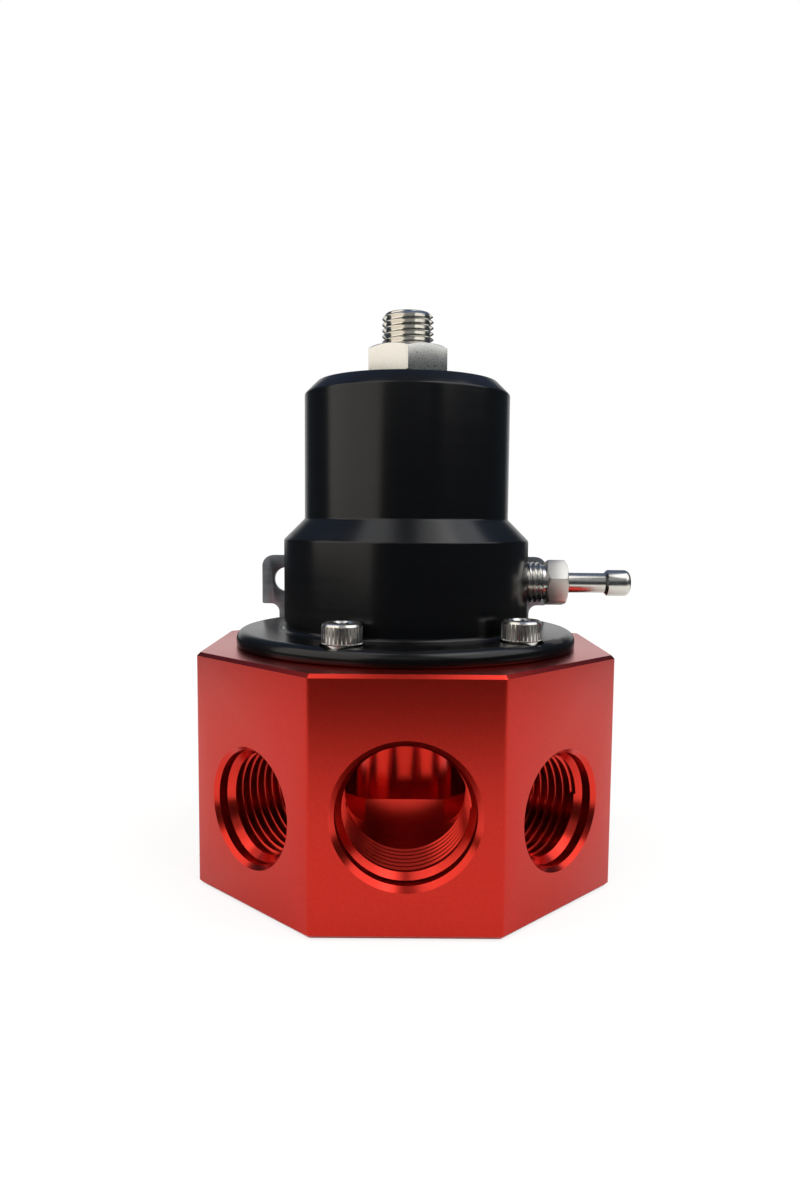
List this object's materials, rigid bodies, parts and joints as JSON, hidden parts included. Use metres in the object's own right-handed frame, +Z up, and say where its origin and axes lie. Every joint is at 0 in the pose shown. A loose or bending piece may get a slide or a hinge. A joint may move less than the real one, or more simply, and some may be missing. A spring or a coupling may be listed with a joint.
{
  "type": "fuel pressure regulator",
  "caption": "Bypass fuel pressure regulator: octagonal red billet body with threaded ports, black spring bonnet, adjusting screw with jam nut, hose nipple and steel bracket.",
  "frame": {"origin": "centre of the bottom face of the body, at the mouth of the return port", "axes": "+Z up along the adjusting screw, -Y out of the inlet port, +X along the reference nipple"},
  "size_m": [0.079, 0.0787, 0.1026],
  "materials": {
    "red_anodised": "red anodised, satin",
    "black_anodised": "black anodised, satin, turned",
    "stainless": "machined stainless",
    "zinc_steel": "zinc plated",
    "bracket_steel": "zinc plated sheet",
    "spring_steel": "oiled spring wire",
    "brass": "turned brass",
    "nickel_brass": "nickel plated",
    "rubber": "moulded rubber",
    "diaphragm_fabric": "rubber on fabric",
    "nylon": "nylon washer"
  },
  "bodies": {
    "housing": {"body": "red_anodised", "valve_seat": "stainless", "seat_ring": "rubber", "diaphragm": "diaphragm_fabric", "main_spring": "spring_steel", "bonnet": "black_anodised", "cap_screws": "stainless", "reference_nipple": "nickel_brass", "bracket": "bracket_steel", "bracket_washers": "zinc_steel", "bracket_screws": "stainless", "gauge_plug": "zinc_steel"},
    "valve_assembly": {"valve_disc": "rubber", "valve_holder": "brass", "upper_plate": "zinc_steel", "stem_nut": "zinc_steel"},
    "button": {"spring_button": "zinc_steel"},
    "adjuster": {"adjusting_screw": "stainless"},
    "nut_seal": {"seal_washer": "nylon"},
    "lock_nut": {"jam_nut": "zinc_steel"}
  },
  "joints": [
    {"name": "valve_lift", "type": "slide", "parent": "housing", "child": "valve_assembly", "axis": [0, 0, 1], "range_m": [0, 0.0015], "stiffness_N_per_m": 11900, "springref_m": -0.008, "deforming": ["main_spring", "diaphragm"]},
    {"name": "button_feed", "type": "slide", "parent": "housing", "child": "button", "axis": [0, 0, 1], "range_m": [-0.00476, 0.00529], "deforming": ["main_spring"]},
    {"name": "adjuster_turn", "type": "hinge", "parent": "button", "child": "adjuster", "pos_m": [0, 0, 0.0762], "axis": [0, 0, 1], "range_deg": [-1620, 1800]},
    {"name": "nut_rise", "type": "slide", "parent": "housing", "child": "nut_seal", "axis": [0, 0, 1], "range_m": [0, 0.00529]},
    {"name": "nut_turn", "type": "hinge", "parent": "nut_seal", "child": "lock_nut", "pos_m": [0, 0, 0.0908], "axis": [0, 0, 1], "range_deg": [0, 1800]}
  ],
  "couplings": [
    {"joint": "adjuster_turn", "follows": "button_feed", "rad_per_m": 5936.9},
    {"joint": "nut_turn", "follows": "nut_rise", "rad_per_m": 5936.9}
  ]
}
